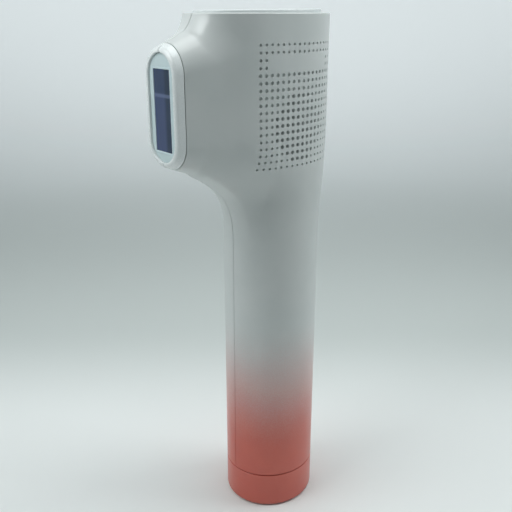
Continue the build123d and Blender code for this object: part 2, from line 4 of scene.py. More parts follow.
import bmesh
import bpy
import numpy as np
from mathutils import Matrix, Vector


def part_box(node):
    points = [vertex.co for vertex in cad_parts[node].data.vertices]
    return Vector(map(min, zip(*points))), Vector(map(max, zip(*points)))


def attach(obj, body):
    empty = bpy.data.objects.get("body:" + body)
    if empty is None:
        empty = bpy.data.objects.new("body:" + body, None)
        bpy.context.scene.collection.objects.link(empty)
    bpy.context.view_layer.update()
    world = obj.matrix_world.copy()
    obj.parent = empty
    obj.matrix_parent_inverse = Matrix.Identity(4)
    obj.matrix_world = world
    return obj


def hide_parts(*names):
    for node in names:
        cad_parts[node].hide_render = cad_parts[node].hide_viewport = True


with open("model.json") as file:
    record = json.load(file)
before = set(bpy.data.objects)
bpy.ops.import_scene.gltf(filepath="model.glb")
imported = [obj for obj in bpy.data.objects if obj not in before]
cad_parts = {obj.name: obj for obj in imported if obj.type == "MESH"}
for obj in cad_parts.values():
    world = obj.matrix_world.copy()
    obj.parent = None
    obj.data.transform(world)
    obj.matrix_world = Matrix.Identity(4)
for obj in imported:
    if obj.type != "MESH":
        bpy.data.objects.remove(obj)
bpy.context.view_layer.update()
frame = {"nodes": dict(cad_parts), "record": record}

# An IPL hair remover that stands on its base. Shapes are worked out in millimetres and made in metres.
# +Z is up, -Y is the front (the lamp window) and +X is the vented side.

MM = 0.001


def node_box(name):
    """Lowest and highest corner of a CAD node, in millimetres."""
    low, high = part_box(name)
    return np.array(low) / MM, np.array(high) / MM


def srgb(red, green, blue):
    """A colour given as on a screen, 0 to 255, in linear light."""
    return tuple((value / 255 / 12.92 if value <= 10 else ((value / 255 + 0.055) / 1.055) ** 2.4)
                 for value in (red, green, blue)) + (1.0,)


# ---- heights and depths taken from the frame ----
SHELL_LOW, SHELL_TOP = node_box("right_shell")[0][2], node_box("right_shell")[1][2]
CAP_TOP = node_box("bottom_cap")[1][2]
COVER_LOW, COVER_TOP = node_box("top_cover")[0][2], node_box("top_cover")[1][2]
COVER_BACK = node_box("top_cover")[1][1]
COVER_THICK = 1.8
COVER_LEDGE = COVER_LOW + COVER_THICK
RING_BACK, RING_FACE = -node_box("lamp_ring")[1][1], -node_box("lamp_ring")[0][1]
BEZEL_LOW, BEZEL_HIGH = node_box("bezel_plate")[0], node_box("bezel_plate")[1]
BORDER_LOW, BORDER_HIGH = node_box("glass_frame")[0], node_box("glass_frame")[1]
GLASS_LOW, GLASS_HIGH = node_box("filter_glass")[0], node_box("filter_glass")[1]
KEEPER_LOW, KEEPER_HIGH = node_box("attachment_keepers")[0], node_box("attachment_keepers")[1]

# ---- the body: an oval handle that widens into a head, with a nozzle in front ----
WALL = 2.0
FIT = 0.12
HANDLE_HALF_WIDTH, HEAD_HALF_WIDTH = 18.5, 18.8
HANDLE_FRONT, HEAD_FRONT = 19.3, 34.8
HANDLE_BACK, HEAD_BACK = 19.5, 24.4
HEAD_SQUARENESS = 2.7
BACK_FLARE = (124.0, 166.0)
FRONT_FLARE = (138.0, 165.0)
LIP_FRONT, LIP_HALF_WIDTH = 48.9, 9.25
LIP_LOW, LIP_HIGH = 154.6, 194.5
FLARE_SIDE, FLARE_TOP, FLARE_UNDER = 0.268, 0.48, 0.38
NOZZLE_WIDEST, NOZZLE_ROOT = 17.2, 14.0
NOZZLE_KNEE = 1.2                            # how softly the flare runs into its widest part
NOZZLE_SLANT = 0.93                          # cosine of the flare's mean slope
BLEND_UNDER, BLEND_OVER = 19.0, 7.0          # how wide the blend of nozzle and head is
BLEND_RISE = (150.0, 180.0)                  # heights between which one goes over into the other
BLEND_GROWS, BLEND_FADES = (4.0, 18.0), (36.0, 45.0)
BLEND_SIDE, BLEND_SIDE_DROP = (7.0, 16.0), 0.8
BLEND_LEAST = 0.3
SHELL_FRONT = 46.0
RAY_START, RAY_END, RAY_STEP = 60.0, 3.0, 0.5    # rays search inwards from beyond any point of the body
TINY = 1e-9

# ---- the half shells ----
SEAM_HALF_GAP, SEAM_BEVEL, SEAM_GROOVE = 0.05, 0.25, 0.22
SEAM_TURN, TURN_SPREAD, SHELL_COLUMNS = 88.5, 1.35, 110  # columns stand closer towards the front
FOOT_BEVEL, RIM_ROUND = 0.2, 0.5
ROW_BANDS = [(SHELL_LOW + FOOT_BEVEL, 122.0, 18), (122.0, 140.0, 18), (140.0, 150.0, 20),
             (150.0, 157.0, 28), (157.0, 190.0, 33), (190.0, SHELL_TOP - RIM_ROUND, 42)]
ON_SURFACE, ALIGNED = 0.03, 0.9              # when a point and a face count as lying on the body's surface

# ---- the base cap ----
CAP_ROUND, CAP_EDGE = 1.8, 0.15
CAP_STEP_Z, CAP_STEP, CAP_FLOOR = 13.0, 1.4, 2.2     # below the step the wall is thicker by this much
JACK_HOLE_R, JACK_HOLE_INNER_R, JACK_HOLE_DEPTH = 4.6, 4.1, 4.0

# ---- the top cover ----
COVER_ROUND, CROWN_ROUND = 0.3, 0.45
CROWN_INSET, CROWN_SLOPE = 3.4, math.tan(math.radians(0.65))
CROWN_MIDDLE_Z = COVER_TOP - (COVER_BACK - CROWN_INSET + WALL) * CROWN_SLOPE

# ---- the lamp attachment ----
RING_GAP, RING_ROUND = 0.25, 1.1
SPIGOT_INSET, SPIGOT_OUTSET = 0.8, 0.2
NOTCH_HALF_WIDTH, NOTCH_HALF_LENGTH, NOTCH_DEPTH = 0.17, 1.7, 1.5
SHELF_DROP, KEEPER_R = 1.6, 1.5
BEZEL_GAP, BEZEL_ROUND = 0.06, 0.3
BORDER_CORNER_R, GLASS_CORNER_R = 0.25, 0.15

# ---- vents ----
VENT_PITCH, VENT_ROWS, VENT_COLUMNS = 2.5, 18, 16
VENT_TOP_Z, VENT_MID_Y = 194.8, -2.3
VENT_BLANK_ROWS, VENT_BLANK_COLUMNS = (2, 3), range(2, 14)
VENT_OPEN = {7: 4, 8: 6, 9: 8, 10: 10, 11: 10, 12: 10, 13: 10, 14: 8, 15: 6, 16: 4}
VENT_DRAW_IN = 0.000625                      # columns stand closer towards the edges of the grid
VENT_HOLE_R, DIMPLE_DEPTH = 0.72, 0.8
DIMPLE_TOP_R, DIMPLE_GROWTH, DIMPLE_TOP_ROWS = 0.5, 0.03, 4
DIMPLE_R, DIMPLE_SHRINK, FAN_TOP_ROW = 0.66, 0.018, 6

# ---- the panel on the back ----
PANEL_Z, PANEL_HALF_WIDTH = (82.0, 141.0), 7.2
FLASH_Z, POWER_Z = 129.0, 92.0
FLASH_HALF_WIDTH, FLASH_LENGTH, POWER_R = 4.8, 17.0, 3.9
LED_Z = [99.5 + 3.8 * i for i in range(5)]
LIGHT_R, LIGHT_SUNK = 0.9, 0.05
BUTTON_GAP, BUTTON_PROUD = 0.15, 0.5
PANEL_ROUND, BUTTON_ROUND, LIGHT_ROUND = 0.25, 0.45, 0.2
PANEL_THICK, BUTTON_THICK = 3.0, 2.6
FACE_MIDDLE = 0.04                           # half the width of the flat left down the middle of a face
STADIUM_LEAST = 0.01                         # half the straight of a stadium that is all but round

# ---- colours ----
FADE_LOW, FADE_HIGH = 26.0, 89.0             # heights between which the coral fades into white
WHITE, WHITE_SHADE = srgb(205, 209, 208), srgb(201, 206, 205)
CORAL, CORAL_SHADE = srgb(204, 95, 78), srgb(200, 90, 74)
# the paper's colours: painted shade in front of and beyond the object, painted light on the far paper
PAINTED_SHADE_FRONT, FLOOR_NEAR = srgb(204, 208, 208), srgb(234, 237, 236)
PAINTED_SHADE_MIDDLE, PAINTED_LIGHT_FAR = srgb(204, 210, 208), srgb(240, 244, 245)
PAINTED_GLOW = srgb(240, 246, 248)
PAINTED_GLOW_STRENGTH = 0.42                              # painted glow: the paper gives off light where it stands furthest away
NOISE_RANGE = (0.3, 0.7)                     # nearly all of a noise texture's values

# ---- the studio, in metres and degrees ----
CAMERA_TURN, CAMERA_DISTANCE, CAMERA_HEIGHT = 48.7, 0.260, 0.2053
AIM_TURN, AIM_DOWN, LENS = 50.0, 20.0, 47.2
FLOOR_R, SWEEP_R, WALL_HEIGHT = 0.62, 0.34, 1.1
LIGHT_TINT, SKY_TINT, SKY_STRENGTH = (0.965, 1.0, 1.0), (0.93, 0.97, 1.0, 1.0), 0.02
LIGHT_TARGET = 0.2
# each light: turn to the right of straight beyond, rise, power in watts, size, distance
LIGHTS = {
    "window_side_light": (-116, 38, 0.56, 0.2, 0.34),
    "left_light": (-86, 12, 0.12, 0.2, 0.34),
    "right_light": (86, 30, 0.6, 0.2, 0.34),
    "top_light": (0, 89, 0.56, 0.25, 0.3),
    "ceiling_light": (0, 89, 0.5, 0.6, 0.9),
}


# ======== geometry ========

def ease(t):
    """Rises smoothly from 0 to 1 while t does, and is flat outside."""
    t = np.clip(t, 0, 1)
    return t * t * (3 - 2 * t)


def mix(a, b, t):
    """From a to b as t goes from 0 to 1."""
    return a + (b - a) * t


def soft_min(a, b, softness):
    """The lesser of two values, rounded off where they are nearly equal."""
    near = np.maximum(softness - np.abs(a - b), 0) / softness
    return np.minimum(a, b) - near * near * softness / 4


def between(value, ends):
    """Rises smoothly from 0 to 1 between two ends."""
    return ease((value - ends[0]) / (ends[1] - ends[0]))


def trunk(z):
    """Half width, front reach, back reach and front squareness of the body at a height, less the nozzle."""
    wide, forward = between(z, BACK_FLARE), between(z, FRONT_FLARE)
    return (
        mix(HANDLE_HALF_WIDTH, HEAD_HALF_WIDTH, wide),
        mix(HANDLE_FRONT, HEAD_FRONT, forward),
        mix(HANDLE_BACK, HEAD_BACK, wide),
        mix(2.0, HEAD_SQUARENESS, forward),
    )


def distance(x, front, z, inset):
    """Signed distance, nearly, to the body's surface moved inwards by inset. front is -Y."""
    half_width, reach_front, reach_back, power = trunk(z)
    half_width = half_width - inset
    middle = (reach_front - reach_back) / 2
    reach = (reach_front + reach_back) / 2 - inset
    power = np.where(front > middle, power, 2.0)
    across = np.abs(x / half_width) + TINY
    along = np.abs((front - middle) / reach) + TINY
    size = (across**power + along**power) ** (1 / power)
    slope = np.hypot(across ** (power - 1) / half_width, along ** (power - 1) / reach)
    to_trunk = (size - 1) * size ** (power - 1) / slope

    behind_lip = LIP_FRONT - front
    cone = LIP_HALF_WIDTH + FLARE_SIDE * behind_lip
    half_width = (cone + NOZZLE_WIDEST - np.hypot(cone - NOZZLE_WIDEST, NOZZLE_KNEE)) / 2 - inset
    high = LIP_HIGH + FLARE_TOP * behind_lip - inset - half_width
    low = LIP_LOW - FLARE_UNDER * behind_lip + inset + half_width
    beyond = np.maximum(np.maximum(z - high, low - z), 0)
    to_nozzle = (np.hypot(x, beyond) - half_width) * NOZZLE_SLANT
    to_nozzle = np.maximum(to_nozzle, NOZZLE_ROOT - front)
    softness = mix(BLEND_UNDER, BLEND_OVER, between(z, BLEND_RISE))
    softness = softness * (1 - between(front, BLEND_FADES)) * between(front, BLEND_GROWS)
    softness = softness * (1 - BLEND_SIDE_DROP * between(np.abs(x), BLEND_SIDE)) + BLEND_LEAST
    return soft_min(to_trunk, to_nozzle, softness)


def outlines(z, inset, angle):
    """X and Y where rays at these angles leave the body: a row for each height z and its inset."""
    z, inset = np.broadcast_arrays(np.atleast_1d(z)[:, None], np.atleast_1d(inset)[:, None])
    reach_front, reach_back = trunk(z)[1:3]
    middle = (reach_front - reach_back) / 2

    def is_inside(radius):
        return distance(radius * np.cos(angle), middle + radius * np.sin(angle), z, inset) < 0

    outside = np.full((len(z), len(angle)), RAY_START)
    for radius in np.arange(RAY_START - RAY_STEP, RAY_END, -RAY_STEP):
        found = is_inside(radius) & (outside == RAY_START)
        outside = np.where(found, radius + 0.4999, outside)      # just under a step, so never RAY_START
    inside = outside - RAY_STEP
    for _ in range(20):
        radius = (inside + outside) / 2
        hit = is_inside(radius)
        inside, outside = np.where(hit, radius, inside), np.where(hit, outside, radius)
    return inside * np.cos(angle), -middle - inside * np.sin(angle)


def surface_normals(points, inset):
    """Unit normals of the body's surface, moved inwards by inset, at points near it."""
    step = 0.05
    normals = np.empty_like(points)
    for axis in range(3):
        shift = np.zeros(3)
        shift[axis] = step
        ahead, behind = points + shift, points - shift
        normals[:, axis] = (distance(ahead[:, 0], -ahead[:, 1], ahead[:, 2], inset)
                            - distance(behind[:, 0], -behind[:, 1], behind[:, 2], inset))
    return normals / np.linalg.norm(normals, axis=1, keepdims=True)


def side_x(y, z):
    """Where the body's right side is at a given Y and Z."""
    low, high = 5.0, 30.0
    for _ in range(24):
        x = (low + high) / 2
        low, high = (x, high) if distance(x, -y, z, 0.0) < 0 else (low, x)
    return low


def back_y(x, z):
    """Where the body's back is at arrays of X and Z."""
    low, high = np.full(x.shape, 5.0), np.full(x.shape, 40.0)
    for _ in range(24):
        y = (low + high) / 2
        hit = distance(x, -y, z, 0.0) < 0
        low, high = np.where(hit, y, low), np.where(hit, high, y)
    return low


def strip(loops, closed=False):
    """Points and faces over loops that have as many points each. The ends are filled, or joined if closed."""
    count, rows = len(loops[0]), len(loops)
    faces = []
    for row in range(rows if closed else rows - 1):
        a, b = row * count, (row + 1) % rows * count
        for i in range(count):
            j = (i + 1) % count
            faces.append((a + i, a + j, b + j, b + i))
    if not closed:
        faces.append(tuple(range(count)))
        faces.append(tuple(range((rows - 1) * count, rows * count)))
    return np.concatenate(loops), faces


def join(parts):
    """One list of points and faces from several."""
    points, faces, start = [], [], 0
    for part_points, part_faces in parts:
        points.append(part_points)
        faces += [tuple(start + i for i in face) for face in part_faces]
        start += len(part_points)
    return np.concatenate(points), faces


def new_piece(name, shape, sharp=35):
    """A mesh object from points in millimetres and faces, smooth except across edges sharper than sharp."""
    points, faces = shape
    mesh = bpy.data.meshes.new(name)
    mesh.from_pydata((points * MM).tolist(), [], faces)
    bm = bmesh.new()
    bm.from_mesh(mesh)
    bmesh.ops.recalc_face_normals(bm, faces=bm.faces)
    bm.to_mesh(mesh)
    bm.free()
    mesh.shade_smooth()
    mesh.set_sharp_from_angle(angle=math.radians(sharp))
    piece = bpy.data.objects.new(name, mesh)
    bpy.context.scene.collection.objects.link(piece)
    return piece


def cut(piece, shape, sharp=35):
    """Takes a shape, or several that don't touch, away from a piece."""
    cutter = new_piece("cutter", shape)
    modifier = piece.modifiers.new("cut", "BOOLEAN")
    modifier.object = cutter
    modifier.operation = "DIFFERENCE"
    modifier.solver = "MANIFOLD"
    evaluated = piece.evaluated_get(bpy.context.evaluated_depsgraph_get())
    mesh = bpy.data.meshes.new_from_object(evaluated)
    piece.modifiers.clear()
    piece.data = mesh
    mesh.shade_smooth()
    mesh.set_sharp_from_angle(angle=math.radians(sharp))
    bpy.data.objects.remove(cutter)


def stadium(half_width, low, high, arc=32, side=1):
    """X and Z round a vertical stadium: arc points on each end and side points along each straight."""
    turn = np.linspace(0, math.pi, arc, endpoint=False)
    rise = np.linspace(0, 1, side, endpoint=False)
    top, bottom = high - half_width, low + half_width
    x = np.concatenate([half_width * np.cos(turn), np.full(side, -half_width),
                        -half_width * np.cos(turn), np.full(side, half_width)])
    z = np.concatenate([top + half_width * np.sin(turn), mix(top, bottom, rise),
                        bottom - half_width * np.sin(turn), mix(bottom, top, rise)])
    return x, z


def facing_loop(front, x, z):
    """An outline that faces the front, as points."""
    return np.column_stack([x, np.full(len(x), -front), z])


def rounded_profile(depth, radius, steps=4):
    """(inset, depth) pairs round an edge, from the side wall to the face. depth is how far the face is."""
    return [(radius * (1 - math.cos(a)), depth + radius * (1 - math.sin(a)))
            for a in np.linspace(0, math.pi / 2, steps + 1)]


def box_shape(x, y, z):
    """A plain box between two values on each axis, for cutting."""
    corners = np.array([(a, b, c) for a in x for b in y for c in z], float)
    return corners, [(0, 1, 3, 2), (4, 6, 7, 5), (0, 4, 5, 1), (2, 3, 7, 6), (0, 2, 6, 4), (1, 5, 7, 3)]


def lathe(base, direction, profile, count=20):
    """A round shape about a line: profile is (radius, distance along the line) pairs."""
    direction = Vector(direction).normalized()
    across = np.array(direction.orthogonal().normalized())
    direction = np.array(direction)
    other = np.cross(direction, across)
    turn = np.linspace(0, 2 * math.pi, count, endpoint=False)[:, None]
    ring = across * np.cos(turn) + other * np.sin(turn)
    return strip([np.array(base) + ring * radius + direction * along for radius, along in profile])


# ======== pieces ========

def shell_heights():
    """Heights of the rows of a shell between its two ends: closer where the shape changes."""
    return np.concatenate([np.linspace(low, high, count, endpoint=False) for low, high, count in ROW_BANDS])


def half_shell_shape():
    """The right half of the body's wall, with a rounded rim and a small bevel along the seam."""
    rise = shell_heights()
    rim = [(SHELL_TOP - depth, inset) for inset, depth in rounded_profile(0.0, RIM_ROUND, 5)]
    outer = [(SHELL_LOW, FOOT_BEVEL)] + [(z, 0.0) for z in rise] + rim
    z = np.array([row[0] for row in outer])
    inset = np.array([row[1] for row in outer])
    z = np.concatenate([z, z[::-1]])
    inset = np.concatenate([inset, WALL - inset[::-1]])
    inset[-1] = WALL
    turn = np.linspace(0, 1, SHELL_COLUMNS)
    angle = np.radians(SEAM_TURN - 2 * SEAM_TURN * turn[::-1] ** TURN_SPREAD)
    groove = np.where(inset < WALL / 2, SEAM_GROOVE, 0.0)
    x, y = outlines(z, inset, angle)
    ends = np.radians([-90.0, 90.0])
    near = outlines(z, inset, ends)[1]
    deep = outlines(z, inset + groove, ends)[1]
    seam_x, flat_x = np.full((len(z), 1), SEAM_HALF_GAP), np.full((len(z), 1), SEAM_BEVEL)
    x = np.hstack([seam_x, flat_x, x, flat_x, seam_x])
    y = np.hstack([deep[:, :1], near[:, :1], y, near[:, 1:], deep[:, 1:]])
    rows, columns = x.shape
    points = np.stack([x, y, np.broadcast_to(z[:, None], x.shape)], axis=2).reshape(-1, 3)
    faces = []
    for row in range(rows):
        a, b = row * columns, (row + 1) % rows * columns
        faces += [(a + j, a + j + 1, b + j + 1, b + j) for j in range(columns - 1)]
    for row in range(rows // 2 - 1):
        mirrored = rows - 1 - row
        for column in (0, columns - 1):
            faces.append(tuple(r * columns + column for r in (row, row + 1, mirrored - 1, mirrored)))
    return points, faces


def smooth_like_the_body(piece):
    """Gives the parts of a piece that lie on the body's surface the surface's own normals."""
    mesh = piece.data
    points = np.empty(len(mesh.vertices) * 3)
    mesh.vertices.foreach_get("co", points)
    points = points.reshape(-1, 3) / MM
    mirrored = points * (np.sign(points[:, 0].mean()), 1, 1)
    corner_point = np.empty(len(mesh.loops), int)
    mesh.loops.foreach_get("vertex_index", corner_point)
    corner_normal = np.empty(len(mesh.loops) * 3)
    mesh.corner_normals.foreach_get("vector", corner_normal)
    corner_normal = corner_normal.reshape(-1, 3)
    face_start = np.empty(len(mesh.polygons), int)
    mesh.polygons.foreach_get("loop_start", face_start)
    face_normal = np.empty(len(mesh.polygons) * 3)
    mesh.polygons.foreach_get("normal", face_normal)
    face_normal = face_normal.reshape(-1, 3)
    corner_face = np.searchsorted(face_start, np.arange(len(mesh.loops)), side="right") - 1
    for inset, side in ((0.0, 1), (WALL, -1)):
        away = np.abs(distance(mirrored[:, 0], -mirrored[:, 1], mirrored[:, 2], inset))
        normal = surface_normals(mirrored, inset) * side * (np.sign(points[:, 0].mean()), 1, 1)
        close = (away < ON_SURFACE)[corner_point]
        agree = (normal[corner_point] * face_normal[corner_face]).sum(axis=1) > ALIGNED
        on_face = np.minimum.reduceat(close & agree, face_start)
        chosen = on_face[corner_face].astype(bool)
        corner_normal[chosen] = normal[corner_point][chosen]
    mesh.normals_split_custom_set(corner_normal.tolist())


def vent_shapes():
    """The holes and dimples of the vented side, each square to the surface, with a softened edge."""
    shapes = []
    middle = (VENT_COLUMNS - 1) / 2
    for row in range(VENT_ROWS):
        for column in range(VENT_COLUMNS):
            if row in VENT_BLANK_ROWS and column in VENT_BLANK_COLUMNS:
                continue
            y = VENT_MID_Y + (column - middle) * VENT_PITCH * (1 - VENT_DRAW_IN * (column - middle) ** 2)
            z = VENT_TOP_Z - VENT_PITCH * row
            through = abs(column - middle) < VENT_OPEN.get(row, 0) / 2
            radius = VENT_HOLE_R if through else vent_radius(row)
            base = np.array([side_x(y, z), y, z])
            outwards = surface_normals(base[None], 0.0)[0]
            shapes.append(lathe(base, outwards, vent_profile(radius, through)))
    return join(shapes)


def vent_profile(radius, through):
    """(radius, height) pairs up the wall of a hole or dimple and round its softened edge."""
    bottom = [(radius * 0.96, -2 * WALL)]
    if not through:
        bottom = [(radius * 0.5, -DIMPLE_DEPTH), (radius * 0.85, -DIMPLE_DEPTH * 0.85),
                  (radius * 0.96, -DIMPLE_DEPTH * 0.6)]
    edge = [(radius * 0.96, -0.16), (radius * 1.02, -0.07), (radius + 0.12, 0.0), (radius + 0.3, 0.12)]
    return bottom + edge + [(radius + 0.3, 1.0)]


def vent_radius(row):
    """Dimples are largest level with the top of the fan and shrink towards the bottom of the grid."""
    if row < DIMPLE_TOP_ROWS:
        return DIMPLE_TOP_R + DIMPLE_GROWTH * row
    return DIMPLE_R - DIMPLE_SHRINK * max(row - FAN_TOP_ROW, 0)


def make_shells():
    """The two half shells, open at the nozzle's lip and for the panel, with the vents in the right one."""
    points, faces = half_shell_shape()
    front = box_shape((-1, 40), (-90, -SHELL_FRONT), (0, 300))
    through_wall = [(0.0, 6.0), (0.0, -3.0)]
    opening = panel_plug(PANEL_HALF_WIDTH + FIT, PANEL_Z[0] - FIT, PANEL_Z[1] + FIT, through_wall)
    for name, side in (("left_shell", -1), ("right_shell", 1)):
        piece = new_piece(name + "_skin", (points * (side, 1, 1), faces))
        cut(piece, (front[0] * (side, 1, 1), front[1]))
        cut(piece, opening)
        if side > 0:
            cut(piece, vent_shapes())
        smooth_like_the_body(piece)
        settle(piece, "housing", "housing", name)


def oval_loop(z, inset, count=144):
    """The handle's oval outline, moved inwards, at height z."""
    turn = np.linspace(0, 2 * math.pi, count, endpoint=False)
    reach = (HANDLE_FRONT + HANDLE_BACK) / 2
    middle = (HANDLE_BACK - HANDLE_FRONT) / 2
    x = (HANDLE_HALF_WIDTH - inset) * np.cos(turn)
    y = middle + (reach - inset) * np.sin(turn)
    return np.column_stack([x, y, np.full(count, z)])


def make_cap():
    """The base cap: a rounded foot, a crisp upper edge, and the hollow inside."""
    rounding = [(depth, inset) for inset, depth in rounded_profile(0.0, CAP_ROUND, 8)][::-1]
    upper = [(CAP_TOP - CAP_EDGE, 0.0), (CAP_TOP, CAP_EDGE), (CAP_TOP, WALL), (CAP_STEP_Z, WALL),
             (CAP_STEP_Z, WALL + CAP_STEP), (CAP_FLOOR, WALL + CAP_STEP)]
    loops = [oval_loop(z, inset) for z, inset in rounding + upper]
    piece = new_piece("base_cap", strip(loops))
    jack_low, jack_high = node_box("dc_jack")
    middle = (jack_low + jack_high) / 2
    profile = [(JACK_HOLE_R, -1.0), (JACK_HOLE_R, 0.0),
               (JACK_HOLE_INNER_R, 0.5), (JACK_HOLE_INNER_R, JACK_HOLE_DEPTH)]
    cut(piece, lathe((middle[0], middle[1], 0.0), (0, 0, 1), profile, 48))
    settle(piece, "housing", "housing_coral", "bottom_cap")


def body_loop(z, inset):
    """The whole outline of the body at height z, moved inwards."""
    turn = np.linspace(0, 1, 90)
    angle = np.radians(90 - 180 * turn[::-1] ** 1.3)
    x, y = outlines(z, inset, angle)
    x, y = x[0], y[0]
    x[0] = x[-1] = 0.0
    right = np.column_stack([x, y, np.full(len(x), float(z))])
    left = right[-2:0:-1] * (-1, 1, 1)
    return np.concatenate([right, left])


def make_cover():
    """The cover in the top opening: a ledge under the rim, and a raised middle that is higher at the back."""
    gap = WALL + FIT
    shape = [(COVER_LOW, gap), (COVER_LEDGE - COVER_ROUND, gap), (COVER_LEDGE - 0.09, gap + 0.09),
             (COVER_LEDGE, gap + COVER_ROUND), (COVER_LEDGE, CROWN_INSET - 0.15),
             (COVER_LEDGE + 0.12, CROWN_INSET)]
    loops = [body_loop(z, inset) for z, inset in shape]
    for inset, depth in rounded_profile(0.0, CROWN_ROUND, 5) + [(1.2, 0.0), (3.0, 0.0)]:
        loop = body_loop(COVER_LEDGE, CROWN_INSET + inset)
        loop[:, 2] = CROWN_MIDDLE_Z + loop[:, 1] * CROWN_SLOPE - depth
        loops.append(loop)
    settle(new_piece("top_plate", strip(loops)), "housing", "cover", "top_cover")


def ring_loop(front, inset):
    """The nozzle's stadium outline at a distance in front, moved inwards."""
    behind = LIP_FRONT - front
    half_width = LIP_HALF_WIDTH + FLARE_SIDE * behind - inset
    low, high = LIP_LOW - FLARE_UNDER * behind + inset, LIP_HIGH + FLARE_TOP * behind - inset
    return facing_loop(front, *stadium(half_width, low, high))


def make_ring():
    """The ring round the lamp, with its spigot into the nozzle."""
    seat = SHELL_FRONT + RING_GAP
    half_width = BEZEL_HIGH[0]
    low, high = BEZEL_LOW[2], BEZEL_HIGH[2]
    outer = [(seat, 0.15), (seat + 0.15, 0.0)]
    outer += [(RING_FACE - depth, inset) for inset, depth in rounded_profile(0.0, RING_ROUND, 8)]
    loops = [ring_loop(front, inset) for front, inset in outer]
    inner = [(RING_FACE, -0.25), (RING_FACE - 0.07, -0.07), (RING_FACE - 0.25, 0.0), (seat, 0.0),
             (seat, SPIGOT_INSET), (RING_BACK, SPIGOT_INSET),
             (RING_BACK, -SPIGOT_OUTSET), (seat, -SPIGOT_OUTSET)]
    loops += [facing_loop(front, *stadium(half_width - inset, low + inset, high - inset))
              for front, inset in inner]
    piece = new_piece("window_ring", strip(loops, closed=True))
    notches = [box_shape((-NOTCH_HALF_WIDTH, NOTCH_HALF_WIDTH), (-RING_FACE - 1, -RING_FACE + NOTCH_DEPTH),
                         (z - NOTCH_HALF_LENGTH, z + NOTCH_HALF_LENGTH)) for z in (LIP_LOW, LIP_HIGH)]
    cut(piece, join(notches))
    settle(piece, "attachment", "ring", "lamp_ring")
    for name, end, middle, keeper in (
            ("ring_shelf_upper", 1, high - half_width, KEEPER_HIGH[2] - KEEPER_R),
            ("ring_shelf_lower", -1, low + half_width, KEEPER_LOW[2] + KEEPER_R)):
        make_shelf(name, end, middle, half_width - SPIGOT_INSET, keeper)


def make_shelf(name, end, middle, radius, keeper):
    """A shelf across one round end of the spigot, with a hole for the keeper. end is 1 above and -1 below."""
    turn = np.linspace(0, math.pi, 33)
    edge = middle + end * SHELF_DROP
    x, z = radius * np.cos(turn), middle + end * radius * np.sin(turn)
    x, z = np.append(x, [-radius, radius]), np.append(z, [edge] * 2)
    keep = z * end >= edge * end - 1e-6
    x, z = x[keep], z[keep]
    shelf = new_piece(name, strip([facing_loop(front, x, z) for front in (RING_BACK, -KEEPER_LOW[1])]))
    cut(shelf, lathe((0, -RING_BACK - 5, keeper), (0, 1, 0), [(KEEPER_R, 0.0), (KEEPER_R, 10.0)], 32))
    settle(shelf, "attachment", "ring")


def make_bezel():
    """The plate in the ring, with the opening for the glass."""
    front, back = -BEZEL_LOW[1], -BEZEL_HIGH[1]
    half_width = BEZEL_HIGH[0] - BEZEL_GAP
    low, high = BEZEL_LOW[2] + BEZEL_GAP, BEZEL_HIGH[2] - BEZEL_GAP
    profile = [(back, 0.0)] + [(front - depth, inset) for inset, depth in rounded_profile(0.0, BEZEL_ROUND)]
    piece = new_piece("bezel_face", strip([
        facing_loop(at, *stadium(half_width - inset, low + inset, high - inset)) for at, inset in profile]))
    cut(piece, box_shape((BORDER_LOW[0], BORDER_HIGH[0]), (BORDER_LOW[1] - 2, BORDER_HIGH[1]),
                         (BORDER_LOW[2], BORDER_HIGH[2])))
    settle(piece, "attachment", "bezel", "bezel_plate")


def corner_loop(front, low, high, inset, radius):
    """A rectangle that faces the front, with rounded corners."""
    turn = np.linspace(0, math.pi / 2, 6)
    x, z = [], []
    for quarter, (a, b) in enumerate(((1, 1), (-1, 1), (-1, -1), (1, -1))):
        corner_x = (high[0] - inset if a > 0 else low[0] + inset) - a * radius
        corner_z = (high[2] - inset if b > 0 else low[2] + inset) - b * radius
        x.append(corner_x + radius * np.cos(turn + quarter * math.pi / 2))
        z.append(corner_z + radius * np.sin(turn + quarter * math.pi / 2))
    return facing_loop(front, np.concatenate(x), np.concatenate(z))


def make_glass():
    """The pale border round the glass, and the glass itself."""
    front, back = -BORDER_LOW[1], -BORDER_HIGH[1]
    rim = [(back, 0.02), (front - 0.12, 0.02), (front, 0.14)]
    loops = [corner_loop(at, BORDER_LOW, BORDER_HIGH, inset, BORDER_CORNER_R) for at, inset in rim]
    inner = [(front, -0.12), (front - 0.12, 0.0), (back, 0.0)]
    loops += [corner_loop(at, GLASS_LOW, GLASS_HIGH, inset, GLASS_CORNER_R) for at, inset in inner]
    border = new_piece("glass_border", strip(loops, closed=True))
    settle(border, "attachment", "glass_border", "glass_frame")
    front, back = -GLASS_LOW[1], -GLASS_HIGH[1]
    rim = [(back, 0.02), (front - 0.1, 0.02), (front, 0.12)]
    loops = [corner_loop(at, GLASS_LOW, GLASS_HIGH, inset, GLASS_CORNER_R) for at, inset in rim]
    glass = new_piece("window_glass", strip(loops))
    settle(glass, "attachment", "filter_glass", "filter_glass")


def panel_plug(half_width, low, high, profile, side=40):
    """A stadium on the back of the handle: profile is (inset, depth under the surface) pairs."""
    loops = []
    for inset, depth in profile:
        x, z = stadium(half_width - inset, low + inset, high - inset, 24, side)
        loops.append(np.column_stack([x, back_y(x, z) - depth, z]))
    return strip(loops)


def faced(half_width, face_depth, edge, thickness):
    """The profile of a plate with a rounded edge, whose face follows the surface in to its middle line."""
    inwards = np.linspace(edge, half_width - FACE_MIDDLE, 8)[1:]
    face = [(inset, face_depth) for inset in inwards]
    back = [(half_width - FACE_MIDDLE, thickness), (0.0, thickness)]
    return back + rounded_profile(face_depth, edge) + face


